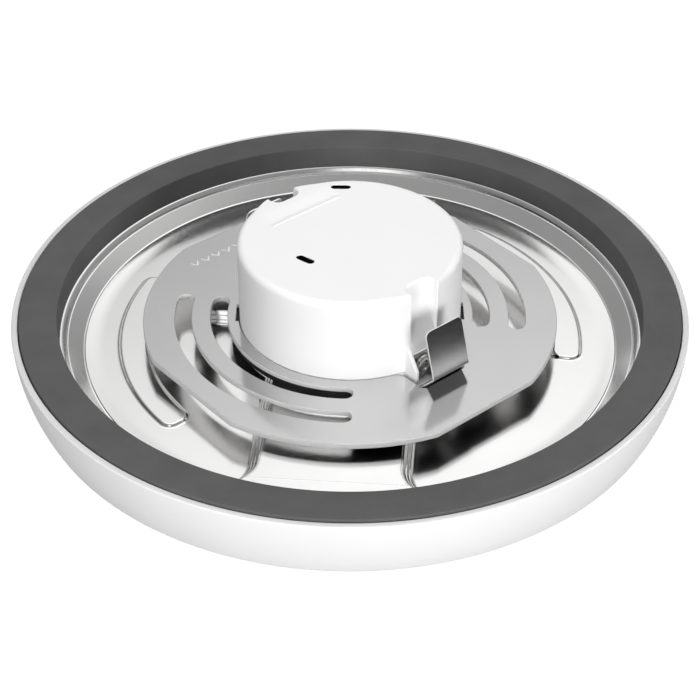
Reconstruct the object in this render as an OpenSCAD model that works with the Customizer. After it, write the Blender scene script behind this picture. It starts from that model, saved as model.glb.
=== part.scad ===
// Surface-mounted LED disk light, lying face down with its ceiling side up.
// Frame: +Z up, origin at the middle of the lens's outer face. Millimetres.
// The clips sit on the -45 and 135 degree directions, the embossed pads on +Y and -Y.

/* [Trim and lens] */
// Outer radius of the trim ring at its ceiling side
trim_r = 89.1; // [88.9:0.1:89.3]
// Radius of the arc that the trim's side follows
side_arc_r = 42.5; // [42:0.1:43]
// Wall of the trim ring
trim_wall = 1.6; // [1.4:0.1:1.8]
// Radius of the lens opening
opening_r = 79.6; // [79:0.1:80]
// Thickness of the opal lens
lens_t = 2.0; // [1.8:0.1:2]

/* [Gasket and pan] */
// Height of the gasket's ceiling face
gasket_top = 20.0; // [19.8:0.1:20.4]
// Inner radius of the foam gasket
gasket_in_r = 77.2; // [77:0.1:77.6]
// Height of the pan's flange, which the gasket lies on
flange_z = 13.7; // [13.5:0.1:13.9]
// Height of the pan's flat floor
floor_z = 8.7; // [8.6:0.1:8.8]
// Height of the raised pads of the pan
pad_z = 11.7; // [11.5:0.1:11.8]
// Thickness of the pan's sheet
pan_t = 0.8; // [0.6:0.1:0.9]

/* [Mounting plate] */
// Outer radius of the mounting plate
plate_r = 55.0; // [54:0.5:56]
// Distance from the axis to each flat of the plate
plate_flat = 52.6; // [52:0.1:53]
// Thickness of the plate
plate_t = 1.5; // [1.2:0.1:1.5]
// Height of the plate's ceiling face
plate_top = 15.47; // [15.4:0.01:15.5]
// Radius of the inner slots, half of the 2.75 inch screw spacing
slot_r_small = 34.925; // [34.9:0.005:34.95]
// Radius of the outer slots, half of the 3.5 inch screw spacing
slot_r_large = 44.45; // [44.4:0.01:44.5]
// Width of the slots
slot_w = 4.5; // [4.3:0.1:4.6]
// Half of the angle between the end arcs of a slot
slot_half_angle = 47.5; // [44:0.5:48]

/* [Driver] */
// Outer radius of the driver can
can_r = 29.4; // [29.2:0.1:29.5]
// Height of the can's top
can_top = 38.8; // [38:0.1:39]
// Wall of the can
can_wall = 1.8; // [1.6:0.1:1.9]
// Radius of the black base tray that the plate rests on
tray_r = 31.9; // [31.6:0.1:32]

/* [Spring clips] */
// Radius of the knee that holds the plate down
knee_r = 39.8; // [39.7:0.1:40]
// Height of the knee
knee_z = 18.7; // [18.6:0.1:18.9]
// Radius of the blade's free edge
tip_r = 36.2; // [36.1:0.1:36.4]
// Height of the blade's free edge
tip_z = 31.5; // [31:0.1:32]
// Width of the blade
blade_w = 12.2; // [12:0.1:12.4]
// Thickness of the spring steel
clip_t = 0.4; // [0.35:0.01:0.45]

/* [Hidden] */
$fn = 96;
gap = 0.05;                       // air between pieces that only touch
clip_az = [-45, 135];
pan_bottom = floor_z - pan_t;
plate_bottom = plate_top - plate_t;

// Trim: the side arc, the small corner arc and the ledge that carries the pan
side_c = [trim_r + 0.03 - side_arc_r, 20.15];
trim_bottom = 0.6;
trim_top = 19.4;
corner_r = 2.5;
corner_z = trim_bottom + corner_r;
corner_c = [side_c[0] + sqrt(pow(side_arc_r - corner_r, 2) - pow(side_c[1] - corner_z, 2)), corner_z];
ledge_in_r = 80.4;
ledge_t = 1.5;
ledge_top = flange_z - pan_t;
lip_r = trim_r - trim_wall;
pan_screw_r = 82.4;
pan_screw_count = 6;
boss_r = 3.0;
boss_bottom = 6.0;

// Pan
flange_r = 86.6;
rim_r = 76.4;
wall_foot_r = 71.2;
plateau_r = 27.0;
pad_half = 17.5;
pad_run = 3.0;                    // sideways run of a pad's sloped side
pad_chord = 64.4;
crescent_in_r = 54.4;
crescent_out_r = 61.4;
crescent_h = 0.7;
crescent_spans = [[-3.5, 56.5], [163.6, 223.3]];
bump_span_y = [2.4, 14.0];
bump_x = -40.0;
grommet_at = [6, 0];
grommet_hole_r = 3.6;
clip_room = [29.4, 6.6, 5];          // near radius, reach and half width

// LED engine
board_r = 63.0;
board_t = 1.4;
thermal_t = 0.4;
board_top = pan_bottom - thermal_t - 2 * gap;
board_bottom = board_top - board_t;
chip_rings = [[26, 12], [42, 18], [57.5, 24]];
chip = [3.5, 2.8, 0.7];
board_screw_r = 34.0;
board_hole_r = 9.0;

// Leads from the driver to the board
lead_r = 0.7;
lead_low_z = board_bottom - 1.2;
lead_bend_r = 2.0;

// Driver
tray_floor = pad_z + gap;
tray_t = 1.5;
tray_top = plate_bottom - 0.1;
can_bottom = tray_floor + tray_t + gap;
can_inner_r = can_r - can_wall;
can_roof = can_top - 2.0;
groove_half = 4.3;
groove_r = 25.5;
groove_slope_z = 34.0;              // where the groove's back starts to slope out
seat_r = 29.8;                    // face that a clip's leg is screwed to
gusset_t = 1.1;
gusset_half = 5.9;
gusset_front = 33.0;
gusset_corner_z = 17.0;
gusset_top = 22.0;
recess_r = 17.6;
recess_run = 8.5;
recess_len = 20.3;
recess_depth = 0.8;
top_slots = [[25.4, 100.4, -95.7], [14.7, 223.9, 104.1]];  // radius, azimuth, lie
slot_web = 0.7;                     // roof left thin round each slot
stud_r = 22.0;
stud_pilot_r = 1.25;
pcb_z = 18.0;
pcb_t = 1.6;
pcb_top = pcb_z + pcb_t;
pcb_r = 26.9;

// Clips: the bend's centre is the hinge of the flexing blade
bend_r = 0.8;
bend_c = [seat_r + clip_t + bend_r, 10.9];
leg_w = 9.0;
leg_top = 20.8;
knee_bend_r = 0.8;
to_knee = [knee_r, knee_z] - bend_c;
ramp_angle = atan2(to_knee[1], to_knee[0]) + asin((bend_r + clip_t) / norm(to_knee));
blade_len = norm([tip_r - knee_r, tip_z - knee_z]);
blade_angle = atan2(tip_z - knee_z, tip_r - knee_r);
clip_screw = [seat_r, -1.2, 16.6];

// Lobes that the plate has for the clips
lobe_r = 37.6;
lobe_half = 7.4;
hole_r = 29.8;
lobe_fillet = 4.0;

// ---------- shared shapes ----------

module around(count, radius, start = 0) {
    for (i = [0 : count - 1])
        rotate([0, 0, start + i * 360 / count])
            translate([radius, 0, 0])
                children();
}

// Flat ring sector with round ends, between two azimuths
module arc_slot_2d(radius, width, a0, a1) {
    steps = 4;
    step = (a1 - a0) / steps;
    reach = (radius + width) / cos(step / 2);
    intersection() {
        difference() {
            circle(r = radius + width / 2);
            circle(r = radius - width / 2);
        }
        polygon(concat(
            [[0, 0]],
            [for (i = [0 : steps]) reach * [cos(a0 + i * step), sin(a0 + i * step)]]
        ));
    }
    for (a = [a0, a1])
        translate(radius * [cos(a), sin(a)])
            circle(r = width / 2 - 0.01);
}

// Pan-head screw, head down at z = 0 and its shank going up
module screw_up(head_r, head_h, shank_r, length) {
    difference() {
        union() {
            translate([0, 0, -head_h])
                cylinder(r = head_r, h = head_h);
            cylinder(r = shank_r, h = length);
        }
        translate([0, 0, -head_h - 1])
            cross_recess(head_r, 1 + head_h * 0.6);
    }
}

module cross_recess(head_r, depth) {
    for (a = [0, 90])
        rotate([0, 0, a])
            translate([-head_r * 0.55, -head_r * 0.13, 0])
                cube([head_r * 1.1, head_r * 0.26, depth]);
}

module block(size, at) {
    translate([at[0] - size[0] / 2, at[1] - size[1] / 2, at[2]])
        cube(size);
}

// ---------- trim ring, lens and gasket ----------

// Everything inside the trim's outer face, taken in by a wall
module trim_body_2d(inset, top) {
    intersection() {
        translate(side_c)
            circle(r = side_arc_r - inset, $fn = 360);
        translate([60, corner_z])
            square([40, top - corner_z]);
    }
    translate(corner_c)
        circle(r = corner_r - inset);
    translate([60, trim_bottom + inset])
        square([corner_c[0] - 60, corner_z]);
}

module trim_ring() {
    color("white")
        difference() {
            union() {
                rotate_extrude()
                    difference() {
                        trim_body_2d(0, trim_top);
                        difference() {
                            trim_body_2d(trim_wall, trim_top + 1);
                            translate([ledge_in_r, ledge_top - ledge_t])
                                square([10, ledge_t]);
                        }
                        translate([0, -1])
                            square([opening_r, 40]);
                        translate([0, ledge_top])
                            square([lip_r, 40]);
                        translate([trim_r, trim_top])
                            rotate([0, 0, 45])
                                square(1.1, center = true);
                    }
                around(pan_screw_count, pan_screw_r)
                    translate([0, 0, boss_bottom])
                        cylinder(r = boss_r, h = ledge_top - boss_bottom);
            }
            around(pan_screw_count, pan_screw_r)
                translate([0, 0, boss_bottom + 1])
                    cylinder(r = 1.3, h = 20);
        }
}

module diffuser_lens() {
    color("ghostwhite")
        rotate_extrude()
            polygon([
                [0, 0], [opening_r - 0.9, 0], [opening_r - 0.3, 0.6], [opening_r - 0.3, 2.25],
                [opening_r + 2, 2.25], [opening_r + 2, 3.25], [opening_r - 2, 3.25],
                [opening_r - 2, lens_t], [0, lens_t]
            ]);
}

module reflector_ring() {
    color("white")
        rotate_extrude()
            polygon([
                [board_r + 0.6, 7.0], [78.4, 3.3], [81.2, 3.3], [81.2, 4.1],
                [78.6, 4.1], [board_r + 0.8, 7.8]
            ]);
}

module foam_gasket() {
    color([0.36, 0.36, 0.36])
        difference() {
            rotate_extrude()
                translate([gasket_in_r, flange_z])
                    square([lip_r - 0.1 - gasket_in_r, gasket_top - flange_z]);
            around(pan_screw_count, pan_screw_r)
                translate([0, 0, flange_z - 1])
                    cylinder(r = 3.1, h = 2.6);
        }
}

// ---------- back pan ----------

module pan_sheet_2d() {
    polygon([
        [0, pan_bottom], [wall_foot_r + 0.3, pan_bottom],
        [rim_r + 0.3, ledge_top], [flange_r, ledge_top],
        [flange_r, flange_z], [rim_r, flange_z], [rim_r - 0.7, flange_z - 0.3],
        [wall_foot_r + 0.4, floor_z + 0.5], [wall_foot_r - 0.6, floor_z], [0, floor_z]
    ]);
}

// A raised pad with sloped sides, running outward along -Y to a straight chord
module pad_solid(low, high, take_in) {
    half = pad_half - take_in;
    intersection() {
        rotate([90, 0, 0])
            linear_extrude(pad_chord)
                polygon([
                    [-half - pad_run, low], [half + pad_run, low], [half, high], [-half, high]
                ]);
        rotate([90, 0, 90])
            linear_extrude(80, center = true)
                polygon([
                    [-pad_chord + take_in, low], [0, low], [0, high],
                    [-pad_chord + pad_run + take_in, high]
                ]);
    }
}

module raised_areas(low, high, take_in) {
    difference() {
        for (a = [0, 180])
            rotate([0, 0, a])
                pad_solid(low, high, take_in);
        // Room for the clips' bends beside the pads
        at_clips()
            translate([clip_room[0] - take_in, -clip_room[2] - take_in, low - 1])
                cube([clip_room[1] + 2 * take_in, 2 * (clip_room[2] + take_in), 10]);
    }
    translate([0, 0, low])
        cylinder(r1 = plateau_r + pad_run - take_in, r2 = plateau_r - take_in, h = high - low);
    translate([bump_x + take_in, bump_span_y[0] + take_in, low])
        cube([25, bump_span_y[1] - bump_span_y[0] - 2 * take_in, high - low]);
}

module crescents() {
    middle = (crescent_in_r + crescent_out_r) / 2;
    for (span = crescent_spans)
        translate([0, 0, floor_z - 0.1])
            linear_extrude(crescent_h + 0.1)
                arc_slot_2d(middle, crescent_out_r - crescent_in_r, span[0], span[1]);
}

module back_pan() {
    color("silver")
        difference() {
            union() {
                rotate_extrude()
                    pan_sheet_2d();
                raised_areas(floor_z - 0.1, pad_z, 0);
                crescents();
            }
            raised_areas(pan_bottom - 0.1, pad_z - pan_t, pan_t);
            around(pan_screw_count, pan_screw_r)
                cylinder(r = 1.8, h = 40);
            around(4, board_screw_r, 45)
                cylinder(r = 1.5, h = 40);
            around(4, stud_r)
                cylinder(r = 1.7, h = 40);
            translate(grommet_at)
                cylinder(r = grommet_hole_r, h = 40);
        }
}

module pan_screws() {
    color("silver")
        around(pan_screw_count, pan_screw_r)
            translate([0, 0, flange_z])
                mirror([0, 0, 1])
                    screw_up(2.6, 1.3, 1.2, 6);
}

// ---------- LED engine ----------

module led_board() {
    color("whitesmoke")
        difference() {
            translate([0, 0, board_bottom])
                cylinder(r = board_r, h = board_t);
            cylinder(r = board_hole_r, h = 20);
            around(4, board_screw_r, 45)
                cylinder(r = 1.7, h = 20);
        }
}

module led_chips() {
    color("khaki")
        for (ring = chip_rings)
            around(ring[1], ring[0], 180 / ring[1])
                block(chip, [0, 0, board_bottom - chip[2]]);
}

module thermal_pad() {
    color("lightblue")
        difference() {
            translate([0, 0, board_top + gap])
                cylinder(r = board_r - 1, h = thermal_t);
            cylinder(r = plateau_r + 4, h = 20);
            around(4, board_screw_r, 45)
                cylinder(r = 3, h = 20);
        }
}

module board_screws() {
    color("silver")
        around(4, board_screw_r, 45)
            translate([0, 0, board_bottom])
                screw_up(2.6, 1.2, 1.4, floor_z - board_bottom - 0.1);
}

module board_connector() {
    color("ivory")
        difference() {
            block([8, 5, 2.4], [17, 0, board_bottom - 2.4]);
            for (side = [-1, 1])
                translate([12, side * 1.1, lead_low_z])
                    rotate([0, 90, 0])
                        cylinder(r = lead_r + gap, h = 3.5);
        }
}

// One of the two insulated leads from the driver down to the board's connector
module output_lead(side) {
    x0 = grommet_at[0];
    y0 = side * 1.1;
    translate([x0, y0, lead_low_z + lead_bend_r])
        cylinder(r = lead_r, h = pcb_z - gap - lead_low_z - lead_bend_r);
    translate([x0 + lead_bend_r, y0, lead_low_z + lead_bend_r])
        rotate([-90, 0, 180])
            rotate_extrude(angle = 90)
                translate([lead_bend_r, 0])
                    circle(r = lead_r);
    translate([x0 + lead_bend_r, y0, lead_low_z])
        rotate([0, 90, 0])
            cylinder(r = lead_r, h = 15.4 - x0 - lead_bend_r);
}

module output_leads() {
    color("firebrick")
        for (side = [-1, 1])
            output_lead(side);
}

module lead_grommet() {
    color("black")
        translate([grommet_at[0], grommet_at[1], 0])
            difference() {
                union() {
                    translate([0, 0, pad_z - pan_t - 1.2])
                        cylinder(r = grommet_hole_r - gap, h = tray_floor + tray_t + 0.8 - pad_z + pan_t + 1.2);
                    translate([0, 0, pad_z - pan_t - 1.2])
                        cylinder(r = 5, h = 1.2 - gap);
                    translate([0, 0, tray_floor + tray_t + gap])
                        cylinder(r = 5, h = 0.8);
                }
                for (side = [-1, 1])
                    translate([0, side * 1.1, 0])
                        cylinder(r = lead_r + gap, h = 30);
            }
}

// ---------- driver housing ----------

module at_clips() {
    for (a = clip_az)
        rotate([0, 0, a])
            children();
}

module driver_base() {
    color([0.08, 0.08, 0.08])
        difference() {
            union() {
                translate([0, 0, tray_floor])
                    cylinder(r = tray_r, h = tray_t);
                translate([0, 0, tray_floor])
                    difference() {
                        cylinder(r = tray_r, h = tray_top - tray_floor);
                        cylinder(r = can_r + 0.2, h = 20);
                    }
                around(4, 23.4, 22.5)
                    translate([0, 0, tray_floor])
                        cylinder(r = 1.5, h = pcb_z - gap - tray_floor);
            }
            at_clips()
                translate([can_r - 2, -gusset_half - 0.3, 0])
                    cube([20, 2 * gusset_half + 0.6, 30]);
            around(4, stud_r)
                cylinder(r = 1.7, h = 40);
            translate(grommet_at)
                cylinder(r = grommet_hole_r, h = 40);
        }
}

module can_shell_2d(radius, top, edge) {
    square([radius - edge, top]);
    square([radius, top - edge]);
    translate([radius - edge, top - edge])
        circle(r = edge);
}

// Side profile of a gusset, drawn as radius and height
module gusset_2d() {
    polygon([
        [can_r - 2.5, can_bottom], [gusset_front, can_bottom], [gusset_front, gusset_corner_z],
        [29.9, gusset_top], [can_r - 2.5, gusset_top]
    ]);
}

module clip_foot() {
    for (side = [-1, 1])
        translate([0, side * (gusset_half - gusset_t / 2), 0])
            rotate([90, 0, 0])
                linear_extrude(gusset_t, center = true)
                    gusset_2d();
    translate([groove_r - 1.5, -gusset_half + gusset_t, can_bottom])
        cube([seat_r - groove_r + 1.5, 2 * (gusset_half - gusset_t), leg_top - can_bottom]);
}

module oblong_slot(length, width, height) {
    linear_extrude(height) {
        square([length - width, width], center = true);
        for (side = [-1, 1])
            translate([side * (length - width) / 2, 0])
                circle(r = width / 2);
    }
}

// Shallow wedge cut into the can's top, deepest along its straight inner edge
module top_recess() {
    rotate([90, 0, 0])
        linear_extrude(recess_len, center = true)
            polygon([
                [recess_r, can_top - recess_depth], [recess_r + recess_run, can_top],
                [recess_r + recess_run, can_top + 1], [recess_r, can_top + 1]
            ]);
}

// Groove above a clip. Its back slopes outward down to the clip's seat.
module groove() {
    rotate([90, 0, 0])
        linear_extrude(2 * groove_half, center = true)
            polygon([
                [groove_r, can_top + 1], [groove_r, groove_slope_z], [seat_r, leg_top],
                [can_r + 5, leg_top], [can_r + 5, can_top + 1]
            ]);
}

module driver_can() {
    color("white")
        difference() {
            union() {
                difference() {
                    rotate_extrude()
                        intersection() {
                            can_shell_2d(can_r, can_top, 1.8);
                            translate([0, can_bottom])
                                square(60);
                        }
                    translate([0, 0, can_bottom - 1])
                        cylinder(r = can_inner_r, h = can_roof - can_bottom + 1);
                }
                at_clips() {
                    translate([groove_r - 1.5, -groove_half - 1.5, leg_top - 1])
                        cube([3.6, 2 * groove_half + 3, can_top - 1.8 - leg_top + 1]);
                    clip_foot();
                }
                around(4, stud_r)
                    translate([0, 0, can_bottom])
                        cylinder(r = 2.6, h = can_roof - can_bottom + 0.5);
                around(4, stud_r)
                    translate([0, 0, pcb_top + gap])
                        cylinder(r = 3.4, h = can_roof - pcb_top + 0.4);
            }
            rotate([0, 0, 135])
                top_recess();
            at_clips()
                groove();
            at_clips()
                translate([0, clip_screw[1], clip_screw[2]])
                    rotate([0, 90, 0])
                        cylinder(r = 1.25, h = 40);
            around(4, stud_r)
                translate([0, 0, can_bottom - 1])
                    cylinder(r = stud_pilot_r, h = 14);
            for (s = top_slots)
                rotate([0, 0, s[1]])
                    translate([s[0], 0, can_roof - 1])
                        rotate([0, 0, s[2]]) {
                            oblong_slot(5.4, 2.2, 10);
                            oblong_slot(8.4, 5.2, 3 - slot_web);
                        }
        }
}

module can_screws() {
    color("silver")
        around(4, stud_r)
            translate([0, 0, pad_z - pan_t - gap])
                screw_up(2.8, 1.4, 1.2, 11);
}

// ---------- driver electronics ----------

module driver_pcb() {
    color("darkgreen")
        difference() {
            translate([0, 0, pcb_z])
                cylinder(r = pcb_r, h = pcb_t);
            around(4, stud_r)
                cylinder(r = 2.8, h = 40);
            at_clips()
                translate([groove_r - 2.2, -8, 0])
                    cube([20, 16, 40]);
        }
}

module transformer_core() {
    color("dimgray")
        difference() {
            block([17, 6, 14], [-3, -9, pcb_top + 1]);
            for (side = [-1, 1])
                block([3.4, 8, 8.6], [-3 + side * 4.3, -9, pcb_top + 3.7]);
        }
}

module transformer_coil() {
    color("gold")
        difference() {
            translate([-3, -9, pcb_top + 3.9])
                intersection() {
                    cylinder(r = 6.4, h = 8.2);
                    translate([-5.9, -10, 0])
                        cube([11.8, 20, 20]);
                }
            block([5.2 + 2 * gap, 6.2, 20], [-3, -9, pcb_top]);
            for (side = [-1, 1])
                block([5.4, 6.2, 20], [-3 + side * 8.6, -9, pcb_top]);
        }
}

module can_capacitor(radius, height) {
    difference() {
        rotate_extrude()
            can_shell_2d(radius, height, 0.6);
        translate([0, 0, 1.6])
            difference() {
                cylinder(r = radius + 1, h = 0.8);
                cylinder(r = radius - 0.35, h = 0.8);
            }
    }
}

module bulk_capacitor() {
    color("navy")
        translate([11.5, 7.5, pcb_top + gap])
            can_capacitor(5, 14);
}

module output_capacitor() {
    color("black")
        translate([-8, 12.5, pcb_top + gap])
            can_capacitor(4, 12);
}

module line_choke() {
    color("saddlebrown")
        translate([11, -7.5, pcb_top + gap]) {
            cylinder(r = 4, h = 1.4);
            cylinder(r = 3.2, h = 8.4);
            translate([0, 0, 7])
                cylinder(r = 4, h = 1.4);
        }
}

module film_capacitor() {
    color("gold")
        block([4.2, 10, 8], [1.5, 13.2, pcb_top + gap]);
}

module varistor() {
    color("steelblue")
        translate([8, -19.5, pcb_top + 4.4])
            rotate([90, 0, 0])
                cylinder(r = 3.6, h = 2.6, center = true);
}

module fuse_resistor() {
    color("mediumseagreen")
        translate([-15.5, 1.5, pcb_top + 1.8]) {
            rotate([90, 0, 0])
                cylinder(r = 1.6, h = 8, center = true);
            for (side = [-1, 1])
                translate([0, side * 4.6, -1.8 + gap])
                    cylinder(r = 0.35, h = 1.8);
            rotate([90, 0, 0])
                cylinder(r = 0.35, h = 9.2, center = true);
        }
}

module bridge_rectifier() {
    color([0.15, 0.15, 0.15])
        block([5, 6.4, 2.4], [3, 1.5, pcb_top + gap]);
}

module switch_transistor() {
    color([0.15, 0.15, 0.15])
        block([4, 5, 1.6], [-5, 1.5, pcb_top + gap]);
}

module output_diode() {
    color([0.2, 0.2, 0.2])
        block([4.6, 2.6, 2.2], [-15, 9, pcb_top + gap]);
}

// ---------- mounting plate ----------

// Hole that clears the can, with a lobe for each clip and rounded corners between them
module plate_hole_2d() {
    corner_x = sqrt(pow(hole_r, 2) - pow(lobe_half, 2));
    fillet_y = lobe_half + lobe_fillet;
    fillet_x = sqrt(pow(hole_r + lobe_fillet, 2) - pow(fillet_y, 2));
    touch = hole_r / (hole_r + lobe_fillet) * [fillet_x, fillet_y];
    circle(r = hole_r);
    for (a = clip_az)
        rotate([0, 0, a]) {
            translate([0, -lobe_half])
                square([lobe_r - 1.5, 2 * lobe_half]);
            translate([lobe_r - 2, -lobe_half + 1.5])
                square([2, 2 * lobe_half - 3]);
            for (side = [-1, 1]) {
                translate([lobe_r - 1.5, side * (lobe_half - 1.5)])
                    circle(r = 1.5);
                mirror([0, side > 0 ? 0 : 1])
                    difference() {
                        polygon([[corner_x - 1, lobe_half - 1], touch, [fillet_x, fillet_y],
                                 [fillet_x, lobe_half]]);
                        translate([fillet_x, fillet_y])
                            circle(r = lobe_fillet);
                    }
            }
        }
    for (a = [5.5, 185.5])
        rotate([0, 0, a])
            translate([28, -3.85])
                square([2.35, 7.7]);
}

// Stamped chevrons that point at the ceiling side's edge
module stamped_marks() {
    rotate([0, 0, 135])
        for (i = [-4 : 4])
            translate([44.6, i * 5, 0])
                for (side = [-1, 1])
                    rotate([0, 0, side * 35])
                        translate([-1.5, -0.2, 0])
                            cube([1.7, 0.4, 1]);
}

module mounting_plate() {
    color("gainsboro")
        difference() {
            translate([0, 0, plate_bottom])
                linear_extrude(plate_t)
                    difference() {
                        intersection() {
                            circle(r = plate_r, $fn = 180);
                            rotate([0, 0, 45])
                                square(2 * plate_flat, center = true);
                        }
                        plate_hole_2d();
                        for (middle = [45, 225])
                            for (radius = [slot_r_small, slot_r_large])
                                arc_slot_2d(radius, slot_w, middle - slot_half_angle, middle + slot_half_angle);
                    }
            translate([0, 0, plate_top - 0.15])
                stamped_marks();
        }
}

// ---------- spring clips ----------

// Leg against the can and the bend at its foot, drawn as radius and height
module clip_leg() {
    rotate([90, 0, 0])
        linear_extrude(leg_w, center = true) {
            translate([seat_r, bend_c[1]])
                square([clip_t, leg_top - 0.3 - bend_c[1]]);
            intersection() {
                difference() {
                    translate(bend_c)
                        circle(r = bend_r + clip_t);
                    translate(bend_c)
                        circle(r = bend_r);
                }
                translate(bend_c)
                    polygon([
                        [0, 0], [-3, 0], [-3, -3], [0, -3],
                        3 * [sin(ramp_angle - 4), -cos(ramp_angle - 4)]
                    ]);
            }
        }
}

module clip_leg_piece(azimuth) {
    color("slategray")
        rotate([0, 0, azimuth])
            difference() {
                clip_leg();
                translate([20, clip_screw[1], clip_screw[2]])
                    rotate([0, 90, 0])
                        cylinder(r = 1.4, h = 20);
            }
}

// Ramp from the bend out to the knee, and the blade that leans back above it.
// Each flat strip lies along +X with its outer face at z = 0, and the knee joins them.
module clip_blade_piece(azimuth) {
    ramp_start = bend_c + (bend_r + clip_t) * [sin(ramp_angle), -cos(ramp_angle)];
    turn = blade_angle - ramp_angle;
    setback = knee_bend_r * tan(turn / 2);
    ramp_len = norm([knee_r, knee_z] - ramp_start) - setback;
    ramp_end = ramp_start + ramp_len * [cos(ramp_angle), sin(ramp_angle)];
    knee_c = ramp_end + knee_bend_r * [-sin(ramp_angle), cos(ramp_angle)];
    color("slategray")
        rotate([0, 0, azimuth]) {
            translate([ramp_start[0], 0, ramp_start[1]])
                rotate([0, -ramp_angle, 0])
                    linear_extrude(clip_t)
                        ramp_outline_2d(ramp_len);
            rotate([90, 0, 0])
                linear_extrude(blade_w - 0.04, center = true)
                    translate(knee_c)
                        knee_2d(ramp_angle - 90, turn);
            translate([knee_r, 0, knee_z])
                rotate([0, -blade_angle, 0])
                    translate([setback, 0, 0])
                        linear_extrude(clip_t)
                            blade_outline_2d(blade_len - setback);
        }
}

// The ramp starts as narrow as the leg and widens once it is clear of the gussets
module ramp_outline_2d(length) {
    polygon([
        [0, -leg_w / 2], [3.6, -leg_w / 2], [5.0, -blade_w / 2], [length, -blade_w / 2],
        [length, blade_w / 2], [5.0, blade_w / 2], [3.6, leg_w / 2], [0, leg_w / 2]
    ]);
}

// The bend is a hair thicker than the strips and reaches 2 degrees into each of them
module knee_2d(start, turn) {
    far = 3 * knee_bend_r;
    intersection() {
        difference() {
            circle(r = knee_bend_r + 0.02);
            circle(r = knee_bend_r - clip_t - 0.02);
        }
        polygon([
            [0, 0], far * [cos(start - 2), sin(start - 2)],
            far * [cos(start + turn / 2), sin(start + turn / 2)],
            far * [cos(start + turn + 2), sin(start + turn + 2)]
        ]);
    }
}

module blade_outline_2d(length) {
    corner = 1.5;
    translate([0, -blade_w / 2])
        square([length - corner, blade_w]);
    translate([0, -blade_w / 2 + corner])
        square([length, blade_w - 2 * corner]);
    for (side = [-1, 1])
        translate([length - corner, side * (blade_w / 2 - corner)])
            circle(r = corner - 0.01);
}

module clip_screws() {
    color("silver")
        at_clips()
            translate([seat_r + clip_t + gap, clip_screw[1], clip_screw[2]])
                rotate([0, -90, 0])
                    screw_up(2.7, 1.1, 1.15, 6);
}

trim_ring();
diffuser_lens();
reflector_ring();
foam_gasket();
back_pan();
pan_screws();
led_board();
led_chips();
thermal_pad();
board_screws();
board_connector();
output_leads();
lead_grommet();
driver_base();
driver_can();
can_screws();
driver_pcb();
transformer_core();
transformer_coil();
bulk_capacitor();
output_capacitor();
line_choke();
film_capacitor();
varistor();
fuse_resistor();
bridge_rectifier();
switch_transistor();
output_diode();
mounting_plate();
clip_leg_piece(clip_az[0]);  // clip_a_leg
clip_leg_piece(clip_az[1]);  // clip_b_leg
clip_blade_piece(clip_az[0]);  // clip_a_blade
clip_blade_piece(clip_az[1]);  // clip_b_blade
clip_screws();
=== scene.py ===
"""Looks of a surface-mount LED disk light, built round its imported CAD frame.

The light lies face down. Outlines and profiles below are in millimetres in the CAD's own frame,
and MM turns them into Blender's metres when a mesh is made.
"""

from math import acos, asin, atan2, cos, degrees, hypot, pi, radians, sin, sqrt, tan

import bmesh
import bpy
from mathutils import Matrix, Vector


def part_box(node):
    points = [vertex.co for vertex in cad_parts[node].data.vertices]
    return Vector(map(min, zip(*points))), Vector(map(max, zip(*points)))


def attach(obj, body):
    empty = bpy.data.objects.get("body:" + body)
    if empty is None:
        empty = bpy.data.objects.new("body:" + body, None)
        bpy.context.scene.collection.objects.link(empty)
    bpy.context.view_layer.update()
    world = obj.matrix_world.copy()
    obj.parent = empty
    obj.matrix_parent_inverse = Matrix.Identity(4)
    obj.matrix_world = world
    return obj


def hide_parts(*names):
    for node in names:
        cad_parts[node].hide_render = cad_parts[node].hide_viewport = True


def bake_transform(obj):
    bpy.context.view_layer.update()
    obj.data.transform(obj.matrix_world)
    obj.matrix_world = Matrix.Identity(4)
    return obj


MM = 0.001
SMOOTH_LIMIT = radians(32)
LATHE_STEPS = 360
LENS_STEPS = 288
WELD = 1e-5

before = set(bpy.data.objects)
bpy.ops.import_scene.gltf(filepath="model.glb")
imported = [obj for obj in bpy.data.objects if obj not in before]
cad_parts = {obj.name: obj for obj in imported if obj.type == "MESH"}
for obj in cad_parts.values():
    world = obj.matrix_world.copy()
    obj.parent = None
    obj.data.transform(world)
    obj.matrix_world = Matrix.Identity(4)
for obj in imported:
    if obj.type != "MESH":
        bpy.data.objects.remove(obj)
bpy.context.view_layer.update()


def span(node):
    """Lowest and highest corner of a CAD node, in millimetres."""
    low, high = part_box(node)
    return low / MM, high / MM


# ---------- driving sizes, in millimetres ----------

TRIM_LOW, TRIM_HIGH = span("trim_ring")
GASKET_LOW, GASKET_HIGH = span("foam_gasket")
PAN_LOW, PAN_HIGH = span("back_pan")
PLATE_LOW, PLATE_HIGH = span("mounting_plate")
CAN_LOW, CAN_HIGH = span("driver_can")

# Trim: a ring whose convex side is one arc about SIDE_CENTRE, given as (radius, height).
TRIM_R = TRIM_HIGH.x
TRIM_WALL = 1.6
SIDE_ARC_R = 42.5
SIDE_CENTRE = (TRIM_R + 0.03 - SIDE_ARC_R, 20.15)
CORNER_R = 2.5
LIP_OUT_R = 0.45
LIP_IN_R = 0.25
# Faces this close to the lip's top get a darker grey as painted shade.
LIP_SHADE_DEPTH = 0.12
OPENING_R = 79.6
LEDGE_R = 80.4
LEDGE_T = 1.5

# Lens: a disk in the trim's opening, with a flange that rests on the trim's inner face.
LENS_T = 2.0
LENS_GAP = 0.3
LENS_FLANGE = 2.0
LENS_FLANGE_Z = (2.25, 3.25)
LENS_EDGE_R = 0.6

# Gasket: a flat foam ring.
GASKET_IN_R = 77.2
GASKET_OUT_R = GASKET_HIGH.x - 0.2
GASKET_EDGE = 0.35

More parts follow.
